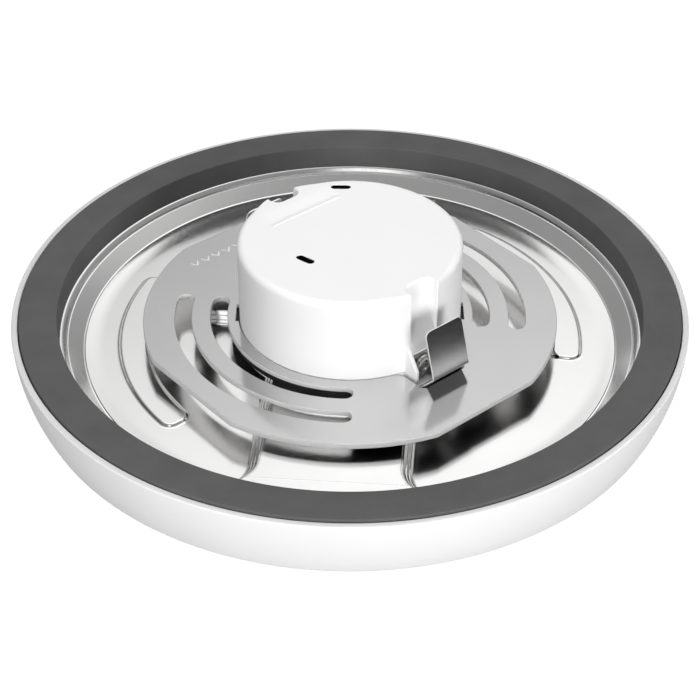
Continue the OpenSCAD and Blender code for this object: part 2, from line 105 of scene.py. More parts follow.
# Pan: a pressed sheet with a conical wall from FOOT_R to RIM_R.
SHEET_T = 0.8
FLOOR_Z = PAN_LOW.z + SHEET_T
FLANGE_Z = PAN_HIGH.z
FLANGE_R = PAN_HIGH.x
FOOT_R = 71.2
RIM_R = 76.4
# Its raised middle, and the pad that runs from there toward -Y.
PAD_Z = 11.7
PAD_RISE = PAD_Z - FLOOR_Z - 0.15
PLATEAU_R = 27.0
PAD_START = 20.0
PAD_HALF = 17.5
PAD_FLARE_R = 10.0
PAD_RUN = 3.0
PAD_CHORD = 64.4
# The pad toward +Y, and its slope as (distance out, share of the rise).
FAR_PAD_START = 27.0
FAR_PAD_HALF = 15.5
FAR_PAD_END = 65.5
FAR_PAD_RUN = 1.5
FAR_PAD_SLOPE = ((0.85, 0.2), (1.6, 0.5), (2.3, 0.8), (2.9, 0.96), (3.2, 1.0), (3.4, 1.06))
# The crescent ribs, as inner and outer radius and spans in degrees.
CRESCENT_R = (54.6, 61.2)
CRESCENT_SPANS = ((-6.9, 59.8), (160.2, 226.6))
CRESCENT_CORNER = 2.4
CRESCENT_H = 0.7
# A raised rectangle beside the middle, and the part under each clip, which is kept flat.
BUMP = ((-39.2, 3.2), (-24.0, 3.2), (-24.0, 13.2), (-39.2, 13.2))
BUMP_CORNER = 1.5
CLIP_FLAT_R = (29.4, 36.0)
CLIP_FLAT_HALF = 5.0

# Plate: a disk with four flats, two pairs of arc slots and a hole with a lobe for each clip.
PLATE_R = 55.0
PLATE_FLAT = 52.6
PLATE_EDGE = 0.12
SLOT_RS = (34.925, 44.45)
SLOT_W = 4.5
SLOT_MIDDLES = (45, 225)
SLOT_HALF_ANGLE = 47.5
HOLE_R = 29.8
LOBE_R = 37.6
LOBE_HALF = 7.4
LOBE_CORNER = 1.5
LOBE_FILLET = 4.0
NOTCH_R = 30.35
NOTCH_HALF = 3.85
NOTCH_TURN = 50.5
MARK_R = 43.4
MARK_PITCH = 3.6
MARK_DEPTH = 0.3
MARK_TAPER = 0.2

# Can: a cup upside down, with a groove above each clip and a seat below it for the leg.
CLIP_AZ = (-45, 135)
CAN_R = 29.4
CAN_WALL = 1.8
CAN_ROOF = 2.0
CAN_TOP = CAN_HIGH.z
CAN_BOTTOM = CAN_LOW.z
CAN_EDGE_R = 1.7
GROOVE_R = 25.5
GROOVE_HALF = 4.3
GROOVE_CORNER = 2.6
GROOVE_LIP_R = 0.3
SEAT_R = 29.8
SEAT_TOP = 20.8
SLOPE_TOP = 34.0
SLOPE_END = 23.3
# The inner space keeps clear of each groove from this radius out.
DENT_R = 22.4
DENT_HALF = GROOVE_HALF + 2.4
# The fine seam round the can's foot.
SEAM_Z = (14.9, 14.92, 15.43, 15.5)
SEAM_DEPTH = 0.45
GUSSET_T = 1.1
GUSSET_HALF = 5.9
GUSSET_ROOT_R = CAN_R - 1.5
GUSSET_FRONT = 33.0
GUSSET_KNEE_Z = 17.0
GUSSET_TOP = (29.9, 22.0)
GUSSET_EDGE = 0.15
# The recess in the top: inner and outer radius, length, depth.
RECESS = (17.6, 23.6, 20.3, 0.5)
# The slots in the top: radius, azimuth and lie of each, then length and width.
TOP_SLOTS = ((25.4, 100.4, -95.7), (14.7, 223.9, 104.1))
TOP_SLOT_SIZE = (5.4, 2.2)
TOP_SLOT_EDGE = 0.12
SLOT_WEB = 0.35
WEB_SIZE = (8.4, 5.2)

# Clips: one bent strip each. BEND_C, KNEE and TIP are (radius, height). HINGE_RUN is where
# the strip starts and ends to follow its blade, either side of the bend's centre.
CLIP_T = 0.4
CLIP_EDGE = 0.14
BEND_C = (31.0, 10.9)
BEND_R = 1.0
BEND_STEPS = 14
KNEE = (39.8, 18.7)
TIP = (36.2, 31.5)
TIP_CORNER = 1.5
KNEE_R = 0.6
LEG_HEIGHTS = (20.5, 18.0, 15.0, 12.5)
LEG_W = 9.0
BLADE_W = 12.2
WIDEN_FROM = 3.6
WIDEN_RUN = 1.4

# Clip screws: place on the leg as (across, height), then head and shank.
SCREW_AT = (-1.2, 16.6)
HEAD_R = 2.7
HEAD_H = 1.15
SHANK_R = 1.15
SHANK_L = 5.5
SCREW_GAP = 0.05
SCREW_STEPS = 32


# ---------- outlines ----------


def arc(centre, radius, start, stop, steps):
    """Points of an arc, both ends included. Angles are in degrees."""
    return [
        (
            centre[0] + radius * cos(radians(start + (stop - start) * i / steps)),
            centre[1] + radius * sin(radians(start + (stop - start) * i / steps)),
        )
        for i in range(steps + 1)
    ]


def turned(points, angle):
    """Points turned about the origin by an angle in degrees."""
    c, s = cos(radians(angle)), sin(radians(angle))
    return [(x * c - y * s, x * s + y * c) for x, y in points]


def moved(points, dx, dy):
    """Points moved sideways."""
    return [(x + dx, y + dy) for x, y in points]


def shift(loop, distance):
    """The loop moved sideways, to the right of its direction of travel."""
    out = []
    count = len(loop)
    for i, (x, y) in enumerate(loop):
        ax, ay = loop[i - 1]
        bx, by = loop[(i + 1) % count]
        d1 = Vector((x - ax, y - ay)).normalized()
        d2 = Vector((bx - x, by - y)).normalized()
        n1, n2 = Vector((d1.y, -d1.x)), Vector((d2.y, -d2.x))
        middle = n1 + n2
        middle = middle.normalized() if middle.length > 1e-6 else n1
        reach = distance / max(0.5, middle.dot(n1))
        out.append((x + middle.x * reach, y + middle.y * reach))
    return out


def rounded(corners, steps=5):
    """A closed outline from corners (x, y, radius), each rounded to its own radius."""
    out = []
    count = len(corners)
    for i, (x, y, radius) in enumerate(corners):
        here = Vector((x, y))
        before = (Vector(corners[i - 1][:2]) - here).normalized()
        after = (Vector(corners[(i + 1) % count][:2]) - here).normalized()
        if radius <= 0:
            out.append((x, y))
            continue
        half = acos(max(-1.0, min(1.0, before.dot(after)))) / 2
        reach = radius / tan(half)
        centre = here + (before + after).normalized() * (radius / sin(half))
        first = here + before * reach - centre
        last = here + after * reach - centre
        a0 = atan2(first.y, first.x)
        turn = (atan2(last.y, last.x) - a0 + pi) % (2 * pi) - pi
        for k in range(steps + 1):
            a = a0 + turn * k / steps
            out.append((centre.x + radius * cos(a), centre.y + radius * sin(a)))
    return out


def slot_loop(radius, middle):
    """An arc slot as a hole: clockwise, with round ends."""
    a0, a1 = middle - SLOT_HALF_ANGLE, middle + SLOT_HALF_ANGLE
    half = SLOT_W / 2
    ends = [(radius * cos(radians(a)), radius * sin(radians(a))) for a in (a0, a1)]
    loop = arc((0, 0), radius + half, a0, a1, 64)
    loop += arc(ends[1], half, a1, a1 + 180, 14)[1:-1]
    loop += arc((0, 0), radius - half, a1, a0, 64)
    loop += arc(ends[0], half, a0 + 180, a0 + 360, 14)[1:-1]
    return loop[::-1]


def oblong_loop(length, width):
    """A slot with round ends, lying along X."""
    run = (length - width) / 2
    return arc((run, 0), width / 2, -90, 90, 10) + arc((-run, 0), width / 2, 90, 270, 10)


def plate_outline():
    """The plate's disk with its four flats."""
    half_flat = degrees(acos(PLATE_FLAT / PLATE_R))
    loop = []
    for quarter in (0, 90, 180, 270):
        loop += arc((0, 0), PLATE_R, quarter - 45 + half_flat, quarter + 45 - half_flat, 28)
    return loop


def plate_hole():
    """The hole round the can, with a lobe for each clip, as a clockwise loop."""
    fillet_y = LOBE_HALF + LOBE_FILLET
    fillet_x = sqrt((HOLE_R + LOBE_FILLET) ** 2 - fillet_y**2)
    touch = degrees(atan2(fillet_y, fillet_x))
    notch_half = degrees(asin(NOTCH_HALF / HOLE_R))
    corner_x = LOBE_R - LOBE_CORNER
    corner_y = LOBE_HALF - LOBE_CORNER
    half = arc((0, 0), HOLE_R, -90, -touch, 24)
    half += arc((fillet_x, -fillet_y), LOBE_FILLET, 180 - touch, 90, 9)[1:]
    half += arc((corner_x, -corner_y), LOBE_CORNER, -90, 0, 6)
    half += arc((corner_x, corner_y), LOBE_CORNER, 0, 90, 6)
    half += arc((fillet_x, fillet_y), LOBE_FILLET, -90, touch - 180, 9)[:-1]
    half += arc((0, 0), HOLE_R, touch, NOTCH_TURN - notch_half, 10)
    half += turned([(NOTCH_R, -NOTCH_HALF), (NOTCH_R, NOTCH_HALF)], NOTCH_TURN)
    half += arc((0, 0), HOLE_R, NOTCH_TURN + notch_half, 90, 12)[:-1]
    loop = []
    for azimuth in CLIP_AZ:
        loop += turned(half, azimuth)
    return loop[::-1]


def chevron_loop(at):
    """One stamped V, as a clockwise pocket outline."""
    arm, line = 1.7, 0.75
    spread_half = arm * 0.8
    corners = [
        (arm, spread_half), (arm + line, spread_half), (line * 1.2, 0),
        (arm + line, -spread_half), (arm, -spread_half), (0, 0),
    ]
    return moved(corners, *at)


def can_upper_loop(take_in, back_r):
    """The can above the clips' seats, taken in by a distance, less so near its two grooves."""
    steps, fade_steps, gap = 80, 7, 0.9
    least = 0.3
    radius, half = CAN_R - least * take_in, GROOVE_HALF + 0.15 * take_in
    mouth = degrees(asin(half / radius))
    mouth_x = sqrt(radius**2 - half**2)
    back = back_r - 0.25 * take_in
    corner = min(GROOVE_CORNER, (mouth_x - back) * 0.75)
    lip = min(GROOVE_LIP_R, corner * 0.3)
    loop = []
    for azimuth in CLIP_AZ:
        groove = rounded(
            [
                (mouth_x, -half - 2.0, 0), (mouth_x, -half, lip), (back, -half, corner),
                (back, half, corner), (mouth_x, half, lip), (mouth_x, half + 2.0, 0),
            ],
            8,
        )[1:-1]
        loop += turned(groove, azimuth)
        for k in range(steps + 1):
            angle = mouth + gap + (180 - 2 * gap - 2 * mouth) * k / steps
            away = min(1.0, min(k, steps - k) / fade_steps)
            full = least + (1 - least) * away * away * (3 - 2 * away)
            loop += turned([(CAN_R - take_in * full, 0)], azimuth + angle)
    return loop


def groove_back(z):
    """Radius of a groove's back at a height: it slopes out to the clip's seat."""
    share = min(1.0, max(0.0, (SLOPE_TOP - z) / (SLOPE_TOP - SEAT_TOP)))
    return GROOVE_R + (SEAT_R - GROOVE_R) * share


def can_lower_loop(foot_r):
    """The can below the grooves: a circle with a flat foot for each clip's leg."""
    foot_half = GUSSET_HALF - GUSSET_T
    meet = degrees(asin(foot_half / CAN_R))
    loop = []
    for azimuth in CLIP_AZ:
        foot = [(foot_r, -foot_half), (foot_r, foot_half)]
        loop += turned(foot, azimuth)
        loop += arc((0, 0), CAN_R, azimuth + meet, azimuth + 180 - meet, 84)
    return loop


def pad_outline(take_in, cut_at_chord):
    """Plan of the pad toward -Y. Its sides flare out to meet the pan's wall."""
    half = PAD_HALF - take_in
    flare = PAD_FLARE_R + take_in
    foot_flare = PAD_FLARE_R - PAD_RUN
    cx = PAD_HALF + PAD_FLARE_R
    cy = sqrt((FOOT_R - foot_flare) ** 2 - cx**2)
    end = 180 - degrees(atan2(cy, cx))
    right = [(half, -PAD_START)] + arc((cx, -cy), flare, 180, 180 + end, 18)
    if cut_at_chord:
        right = [p for p in right if p[1] > -PAD_CHORD]
        right.append((cx - sqrt(flare**2 - (PAD_CHORD - cy) ** 2), -PAD_CHORD))
        left = [(-x, y) for x, y in right]
        return left + right[::-1]
    a = degrees(atan2(right[-1][1], right[-1][0]))
    rim = arc((0, 0), hypot(*right[-1]), -180 - a, a, 20)[1:-1]
    left = [(-x, y) for x, y in right]
    return left + rim + right[::-1]


def crescent_outline(span_deg):
    """A rib with rounded corners between two radii, counterclockwise."""
    corner = CRESCENT_CORNER
    inner, outer = CRESCENT_R
    inner_c, outer_c = inner + corner, outer - corner
    inner_trim, outer_trim = degrees(asin(corner / inner_c)), degrees(asin(corner / outer_c))
    a0, a1 = span_deg

    def turn_corner(centre_r, azimuth, facing):
        """A quarter turn about a corner's centre, starting at an angle to its azimuth."""
        centre = (centre_r * cos(radians(azimuth)), centre_r * sin(radians(azimuth)))
        return arc(centre, corner, azimuth + facing, azimuth + facing + 90, 7)

    loop = arc((0, 0), outer, a0 + outer_trim, a1 - outer_trim, 56)
    loop += turn_corner(outer_c, a1 - outer_trim, 0)[1:-1]
    loop += turn_corner(inner_c, a1 - inner_trim, 90)[:-1]
    loop += arc((0, 0), inner, a1 - inner_trim, a0 + inner_trim, 56)
    loop += turn_corner(inner_c, a0 + inner_trim, 180)[1:-1]
    loop += turn_corner(outer_c, a0 + outer_trim, -90)[:-1]
    return loop


# ---------- mesh building ----------


class Shell:
    """A mesh under construction, in millimetres."""

    def __init__(self):
        self.bm = bmesh.new()

    def ring(self, loop, z):
        """Vertices of a closed loop at a height."""
        return [self.bm.verts.new((x, y, z)) for x, y in loop]

    def bridge(self, a, b):
        """A band of quads between two rings of the same length."""
        count = len(a)
        for i in range(count):
            self.bm.faces.new((a[i], a[(i + 1) % count], b[(i + 1) % count], b[i]))

    def stack(self, rings):
        """Bands of quads from each ring to the next."""
        for a, b in zip(rings, rings[1:]):
            self.bridge(a, b)

    def tube(self, rings):
        """Bands of quads from each ring to the next, closed at both ends."""
        self.stack(rings)
        self.cap(rings[0])
        self.cap(rings[-1])

    def cap(self, *rings):
        """A flat face between outer rings and their holes, with sharp borders."""
        edges = []
        for ring in rings:
            for i, v in enumerate(ring):
                w = ring[(i + 1) % len(ring)]
                edge = self.bm.edges.get((v, w)) or self.bm.edges.new((v, w))
                edge.smooth = False
                edges.append(edge)
        bmesh.ops.triangle_fill(self.bm, use_beauty=True, edges=edges)

    def lathe(self, profile, steps=LATHE_STEPS):
        """A closed profile of (radius, height) turned round Z."""
        columns = []
        for k in range(steps):
            a = 2 * pi * k / steps
            columns.append([self.bm.verts.new((r * cos(a), r * sin(a), z)) for r, z in profile])
        for k in range(steps):
            a, b = columns[k], columns[(k + 1) % steps]
            for i in range(len(profile)):
                j = (i + 1) % len(profile)
                self.bm.faces.new((a[i], b[i], b[j], a[j]))
        bmesh.ops.remove_doubles(self.bm, verts=self.bm.verts[:], dist=WELD)

    def slab(self, loops, low, high, edge, pockets, depth, taper):
        """A sheet with rounded edges and pockets in its top.

        The first loop is its outline, counterclockwise. The others are holes, clockwise.
        """
        rounding = ((0.0, 0.0), (0.29, 0.71), (1.0, 1.0))
        tops, bottoms = [], []
        for loop in loops:
            rings = [
                self.ring(shift(loop, -edge * (1 - out)), high - edge * down)
                for down, out in rounding
            ]
            rings += [
                self.ring(shift(loop, -edge * (1 - out)), low + edge * down)
                for down, out in rounding[::-1]
            ]
            self.stack(rings)
            tops.append(rings[0])
            bottoms.append(rings[-1])
        for loop in pockets:
            mouth = self.ring(loop, high)
            floor = self.ring(shift(loop, taper), high - depth)
            self.bridge(mouth, floor)
            self.cap(floor)
            tops.append(mouth)
        self.cap(*tops)
        self.cap(*bottoms)

    def boss(self, loop, profile):
        """A raised area. The profile runs from its flat top down, as (distance out, height)."""
        rings = [self.ring(shift(loop, out), z) for out, z in profile]
        self.stack(rings)
        self.cap(rings[0])

    def line(self, faces):
        """Gives faces the second material."""
        for face in faces:
            face.material_index = 1

    def added(self, faces_before):
        """The faces made since a set of them was noted."""
        return [face for face in self.bm.faces if face not in faces_before]

    def done(self, name, material, body=None, replaces=(), lining=None):
        """Makes the piece in metres. The lining is its second material."""
        bm = self.bm
        bmesh.ops.scale(bm, vec=(MM, MM, MM), verts=bm.verts[:])
        bmesh.ops.recalc_face_normals(bm, faces=bm.faces[:])
        for face in bm.faces:
            face.smooth = True
        for edge in bm.edges:
            if len(edge.link_faces) == 2 and edge.calc_face_angle(0) > SMOOTH_LIMIT:
                edge.smooth = False
        mesh = bpy.data.meshes.new(name)
        bm.to_mesh(mesh)
        bm.free()
        piece = bpy.data.objects.new(name, mesh)
        bpy.context.scene.collection.objects.link(piece)
        mesh.materials.append(material)
        if lining:
            mesh.materials.append(lining)
        if body:
            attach(piece, body)
        if replaces:
            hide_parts(*replaces)
        return piece


# ---------- materials ----------


def new_material(name):
    """A material with its nodes, its links and its shader."""
    material = bpy.data.materials.new(name)
    material.use_nodes = True
    nodes, links = material.node_tree.nodes, material.node_tree.links
    return material, nodes, links, nodes["Principled BSDF"]


def noise(nodes, links, scale, detail=3.0, stretch=(1, 1, 1)):
    """Noise in the piece's own coordinates, scale in features per metre."""
    coords = nodes.new("ShaderNodeTexCoord")
    mapping = nodes.new("ShaderNodeMapping")
    mapping.inputs["Scale"].default_value = stretch
    texture = nodes.new("ShaderNodeTexNoise")
    texture.inputs["Scale"].default_value = scale
    texture.inputs["Detail"].default_value = detail
    links.new(coords.outputs["Object"], mapping.inputs["Vector"])
    links.new(mapping.outputs["Vector"], texture.inputs["Vector"])
    return texture.outputs["Fac"]


def spread(nodes, links, source, low, high):
    """Noise, which stays mostly between 0.3 and 0.7, stretched from low to high."""
    ramp = nodes.new("ShaderNodeMapRange")
    ramp.inputs["From Min"].default_value = 0.3
    ramp.inputs["From Max"].default_value = 0.7
    ramp.inputs["To Min"].default_value = low
    ramp.inputs["To Max"].default_value = high
    links.new(source, ramp.inputs["Value"])
    return ramp.outputs["Result"]


def tint(nodes, links, source, first, second):
    """A colour that wanders between two with the noise."""
    mix = nodes.new("ShaderNodeMix")
    mix.data_type = "RGBA"
    mix.inputs["A"].default_value = (*first, 1)
    mix.inputs["B"].default_value = (*second, 1)
    links.new(spread(nodes, links, source, 0, 1), mix.inputs["Factor"])
    return mix.outputs["Result"]


def bump(nodes, links, source, depth, strength=1.0, base=None):
    """Relief from noise, depth in metres, on top of another relief if there is one."""
    node = nodes.new("ShaderNodeBump")
    node.inputs["Distance"].default_value = depth
    node.inputs["Strength"].default_value = strength
    links.new(source, node.inputs["Height"])
    if base is not None:
        links.new(base, node.inputs["Normal"])
    return node.outputs["Normal"]


def surface(
    name, colour, rough, metallic=0.0, vary=0.03, mottle=60.0, grain=2500.0, depth=4e-6,
    stretch=(1, 1, 1),
):
    """A material with mottled colour and roughness, and a fine grain in its relief."""
    material, nodes, links, shader = new_material(name)
    broad = noise(nodes, links, mottle, 4.0, stretch)
    fine = noise(nodes, links, grain, 2.0, stretch)
    darker = tuple(c * (1 - vary) for c in colour)
    lighter = tuple(min(1.0, c * (1 + vary)) for c in colour)
    links.new(tint(nodes, links, broad, darker, lighter), shader.inputs["Base Color"])
    links.new(
        spread(nodes, links, fine, rough * 0.85, rough * 1.15), shader.inputs["Roughness"]
    )
    links.new(bump(nodes, links, fine, depth), shader.inputs["Normal"])
    shader.inputs["Metallic"].default_value = metallic
    return material


def foam_material():
    """Closed-cell foam: dark grey, with fine pores in its cut faces."""
    material, nodes, links, shader = new_material("closed_cell_foam")
    coords = nodes.new("ShaderNodeTexCoord")
    cells = nodes.new("ShaderNodeTexVoronoi")
    cells.inputs["Scale"].default_value = 2600
    links.new(coords.outputs["Object"], cells.inputs["Vector"])
    broad = noise(nodes, links, 90, 5.0)
    skin = noise(nodes, links, 900, 4.0)
    links.new(
        tint(nodes, links, broad, (0.092, 0.092, 0.092), (0.108, 0.108, 0.108)),
        shader.inputs["Base Color"],
    )
    links.new(spread(nodes, links, skin, 0.78, 0.92), shader.inputs["Roughness"])
    pores = bump(nodes, links, cells.outputs["Distance"], 3e-5, 0.35)
    links.new(bump(nodes, links, skin, 4e-5, 0.3, pores), shader.inputs["Normal"])
    shader.inputs["Specular IOR Level"].default_value = 0.2
    return material


def lens_material():
    """Opal acrylic: white all through, with a satin face."""
    material, nodes, links, shader = new_material("opal_acrylic")
    broad = noise(nodes, links, 40, 3.0)
    fine = noise(nodes, links, 3000, 2.0)
    links.new(
        tint(nodes, links, broad, (0.86, 0.86, 0.84), (0.9, 0.9, 0.88)),
        shader.inputs["Base Color"],
    )
    links.new(spread(nodes, links, fine, 0.34, 0.44), shader.inputs["Roughness"])
    links.new(bump(nodes, links, fine, 3e-6), shader.inputs["Normal"])
    shader.inputs["Subsurface Weight"].default_value = 0.25
    shader.inputs["Subsurface Radius"].default_value = (0.004, 0.004, 0.004)
    shader.inputs["Subsurface Scale"].default_value = 1.0
    return material


WHITE_PAINT = surface(
    "white_powder_coat", (0.8, 0.8, 0.8), 0.42, vary=0.01, grain=1800, depth=6e-6
)
# A darker grey painted on the trim lip's top as painted shade, for its thin grey band.
LIP_TOP_PAINTED_SHADE = surface(
    "lip_top_painted_shade", (0.66, 0.66, 0.66), 0.5, vary=0.03, grain=1800, depth=6e-6
)
WHITE_PLASTIC = surface(
    "white_moulded_plastic", (0.87, 0.87, 0.87), 0.38, vary=0.008, grain=2600, depth=4e-6
)
# Near-black painted shade: it lines the can's inside and the hollows behind its top slots, so
# they read as deep shade.
CAN_INSIDE_PAINTED_SHADE = surface("can_inside_painted_shade", (0.012, 0.012, 0.012), 0.7, vary=0.2, grain=2600)
FOAM = foam_material()
OPAL = lens_material()
PAN_METAL = surface(
    "bright_rolled_sheet", (0.92, 0.92, 0.915), 0.15, 1.0,
    vary=0.015, mottle=35, grain=900, depth=6e-7,
)
PLATE_METAL = surface(
    "satin_zinc_plate", (0.62, 0.612, 0.614), 0.13, 1.0,
    vary=0.02, mottle=50, grain=1400, depth=7e-7,
)
SPRING_METAL = surface(
    "spring_steel", (0.6, 0.6, 0.6), 0.21, 1.0,
    vary=0.05, mottle=120, grain=1600, depth=1.2e-6, stretch=(1, 1, 0.25),
)
DRAWN_METAL = surface(
    "drawn_sheet", (0.9, 0.9, 0.895), 0.2, 1.0,
    vary=0.02, mottle=35, grain=900, depth=4e-7,
)
# A rough sheared steel edge, made whitish and half dielectric as a painted highlight so that
# thin cut edges read bright.
SHEARED_EDGE_AND_HIGHLIGHT = surface(
    "sheared_edge_and_painted_highlight", (0.95, 0.95, 0.95), 0.5, 0.5,
    vary=0.04, mottle=200, grain=2200, depth=3e-6,
)
SCREW_METAL = surface(
    "zinc_screw", (0.62, 0.62, 0.6), 0.2, 1.0,
    vary=0.06, mottle=400, grain=4000, depth=2e-6,
)


# ---------- visible pieces ----------


def make_trim():
    """The outer ring: convex side, soft lip, darker painted shade on the lip's top."""
    corner_z = TRIM_LOW.z + CORNER_R
    corner_x = SIDE_CENTRE[0] + sqrt(
        (SIDE_ARC_R - CORNER_R) ** 2 - (SIDE_CENTRE[1] - corner_z) ** 2
    )

    def side_x(z, inset=0.0):
        """Radius of the convex side at a height, or of a face inside it."""
        return SIDE_CENTRE[0] + sqrt((SIDE_ARC_R - inset) ** 2 - (SIDE_CENTRE[1] - z) ** 2)

    top, ledge = TRIM_HIGH.z, FLANGE_Z - SHEET_T
    wall_r = TRIM_R - TRIM_WALL
    floor_z = TRIM_LOW.z + TRIM_WALL
    meet = degrees(atan2(corner_z - SIDE_CENTRE[1], corner_x - SIDE_CENTRE[0]))
    outer = [(OPENING_R + 0.5, TRIM_LOW.z)]
    outer += arc((corner_x, corner_z), CORNER_R, -90, meet, 10)
    zs = [corner_z + CORNER_R * sin(radians(meet)) + k for k in range(1, 17)]
    outer += [(side_x(z), z) for z in zs if z < top - LIP_OUT_R - 0.2]
    outer += arc((side_x(top) - LIP_OUT_R, top - LIP_OUT_R), LIP_OUT_R, 0, 90, 5)
    outer += arc((wall_r + LIP_IN_R, top - LIP_IN_R), LIP_IN_R, 90, 180, 4)[:-1]
    inner = [(wall_r, z) for z in (top - LIP_IN_R, 15.0, ledge)]
    inner += [(LEDGE_R, ledge), (LEDGE_R, ledge - LEDGE_T)]
    inner += [(side_x(z, TRIM_WALL), z) for z in (ledge - LEDGE_T, 9.0, 6.0, 4.0)]
    inner += [(corner_x, floor_z), (OPENING_R, floor_z)]
    inner += [(OPENING_R, TRIM_LOW.z + 0.5)]
    shell = Shell()
    shell.lathe(outer + inner)
    # The lip's top faces get the darker painted shade.
    shell.line(f for f in shell.bm.faces if f.calc_center_median().z > top - LIP_SHADE_DEPTH)
    return shell.done("trim", WHITE_PAINT, "fixture", ["trim_ring"], LIP_TOP_PAINTED_SHADE)


def make_lens():
    """The opal disk and its flange."""
    edge_r = OPENING_R - LENS_GAP
    inner_r, outer_r = OPENING_R - LENS_FLANGE, OPENING_R + LENS_FLANGE
    low, high = LENS_FLANGE_Z
    profile = [(0, 0)]
    profile += arc((edge_r - LENS_EDGE_R, LENS_EDGE_R), LENS_EDGE_R, -90, 0, 5)
    profile += [(edge_r, low), (outer_r, low), (outer_r, high), (inner_r, high)]
    profile += [(inner_r, LENS_T), (0, LENS_T)]
    shell = Shell()
    shell.lathe(profile, LENS_STEPS)
    return shell.done("lens", OPAL, "fixture", ["diffuser_lens"])


def make_gasket():
    """The foam ring, with rounded edges on its upper face."""
    shell = Shell()
    r0, r1, z0, z1 = GASKET_IN_R, GASKET_OUT_R, GASKET_LOW.z, GASKET_HIGH.z
    e = GASKET_EDGE
    profile = [(r0, z0), (r1, z0)]
    profile += arc((r1 - e, z1 - e), e, 0, 90, 5)
    profile += [(r0 + (r1 - r0) * k / 6, z1) for k in range(5, 1, -1)]
    profile += arc((r0 + e, z1 - e), e, 90, 180, 5)
    shell.lathe(profile)
    gasket = shell.done("gasket", FOAM, "fixture", ["foam_gasket"])
    return gasket


def make_pan():
    """The pan: its turned profile first, then the pads, ribs and bump set on its floor."""
    shell = Shell()
    # (radius, height, rounding), from the raised middle out over the wall and back below.
    profile = [
        (PLATEAU_R, PAD_Z, 0.8), (PLATEAU_R + PAD_RUN, FLOOR_Z, 0.8),
        (FOOT_R - 3.8, FLOOR_Z, 30.0), (FOOT_R - 0.55, FLOOR_Z + 0.36, 0.15),
        (FOOT_R - 0.3, FLOOR_Z + 0.2, 0.12), (FOOT_R + 0.05, FLOOR_Z + 0.36, 0.3),
        (RIM_R - 1.5, FLANGE_Z - 1.75, 0.3), (RIM_R - 1.2, FLANGE_Z - 1.66, 0.14),
        (RIM_R - 0.95, FLANGE_Z - 1.15, 0.2), (RIM_R, FLANGE_Z, 1.3),
        (FLANGE_R, FLANGE_Z, 0),
        (FLANGE_R, FLANGE_Z - SHEET_T, 0), (RIM_R + 0.3, FLANGE_Z - SHEET_T, 0),
        (FOOT_R + 0.3, FLOOR_Z - SHEET_T, 0),
        (PLATEAU_R + PAD_RUN - 0.4, FLOOR_Z - SHEET_T, 0),
        (PLATEAU_R - 0.4, PAD_Z - SHEET_T, 0), (0, PAD_Z - SHEET_T, 0), (0, PAD_Z, 0),
    ]
    shell.lathe(rounded(profile, 6))
    rise = PAD_RISE
    top = FLOOR_Z + rise
    # Sides of the raised parts, from their flat tops down, as (distance out, height).
    pad_side = [
        (0.0, top), (0.22, top - 0.05), (0.38, top - 0.2), (0.85, top - 0.30 * rise),
        (0.98, top - 0.345 * rise), (1.16, top - 0.355 * rise), (1.3, top - 0.40 * rise),
        (1.72, top - 0.635 * rise), (1.85, top - 0.675 * rise), (2.03, top - 0.685 * rise),
        (2.16, top - 0.73 * rise), (2.6, top - 0.93 * rise), (2.85, top - 0.985 * rise),
        (3.2, FLOOR_Z + 0.01), (3.3, FLOOR_Z - 0.12),
    ]
    pad_cap = [(0.0, PAD_Z), (0.08, PAD_Z - 0.03), (0.2, top), (0.25, top - 0.05)]
    rib_side = [
        (-0.3, CRESCENT_H), (-0.1, CRESCENT_H - 0.02), (0.08, CRESCENT_H - 0.08),
        (0.22, CRESCENT_H - 0.17), (0.34, CRESCENT_H - 0.29), (0.5, 0.24), (0.62, 0.14),
        (0.78, 0.06), (0.98, 0.015), (1.2, 0.004), (1.25, -0.12),
    ]
    rib_side = [(out, FLOOR_Z + up) for out, up in rib_side]
    shell.boss(pad_outline(0.0, False), pad_side)
    shell.boss(pad_outline(0.35, True), pad_cap)
    slack = degrees(asin(FAR_PAD_HALF / FAR_PAD_END))
    far_pad = [(-FAR_PAD_HALF, FAR_PAD_START), (FAR_PAD_HALF, FAR_PAD_START)]
    far_pad += arc((0, 0), FAR_PAD_END, 90 - slack, 90 + slack, 24)
    slope = pad_side[:3] + [(out, top - rise * down) for out, down in FAR_PAD_SLOPE]
    shell.boss(far_pad, [(out * FAR_PAD_RUN, z) for out, z in slope])
    for span_deg in CRESCENT_SPANS:
        shell.boss(crescent_outline(span_deg), rib_side)
    shell.boss(rounded([(x, y, BUMP_CORNER) for x, y in BUMP]), pad_side)
    near, far = CLIP_FLAT_R
    for azimuth in CLIP_AZ:
        for v in shell.bm.verts:
            r, t = turned([(v.co.x, v.co.y)], -azimuth)[0]
            if near < r < far and abs(t) < CLIP_FLAT_HALF and v.co.z > FLOOR_Z:
                v.co.z = FLOOR_Z + 0.02
    for face in shell.bm.faces:
        middle = face.calc_center_median()
        if hypot(middle.x, middle.y) > FOOT_R and FLOOR_Z + 0.2 < middle.z < FLANGE_Z - 0.2:
            face.material_index = 1
    return shell.done("pan", PAN_METAL, "fixture", ["back_pan"], DRAWN_METAL)


def make_plate():
    """The flat plate with its slots and stamped marks. Its cut sides are lined with a rough
    sheared-edge material, made whitish as a painted highlight.
    """
    low, high = PLATE_LOW.z, PLATE_HIGH.z
    loops = [plate_outline(), plate_hole()]
    for middle in SLOT_MIDDLES:
        loops += [slot_loop(radius, middle) for radius in SLOT_RS]
    marks = [
        turned(chevron_loop((MARK_R, i * MARK_PITCH)), CLIP_AZ[1]) for i in range(-5, 6)
    ]
    shell = Shell()
    shell.slab(loops, low, high, PLATE_EDGE, marks, MARK_DEPTH, MARK_TAPER)
    shell.line(f for f in shell.bm.faces if low < f.calc_center_median().z < high - 0.05)
    return shell.done(
        "plate", PLATE_METAL, "plate", ["mounting_plate"], SHEARED_EDGE_AND_HIGHLIGHT
    )


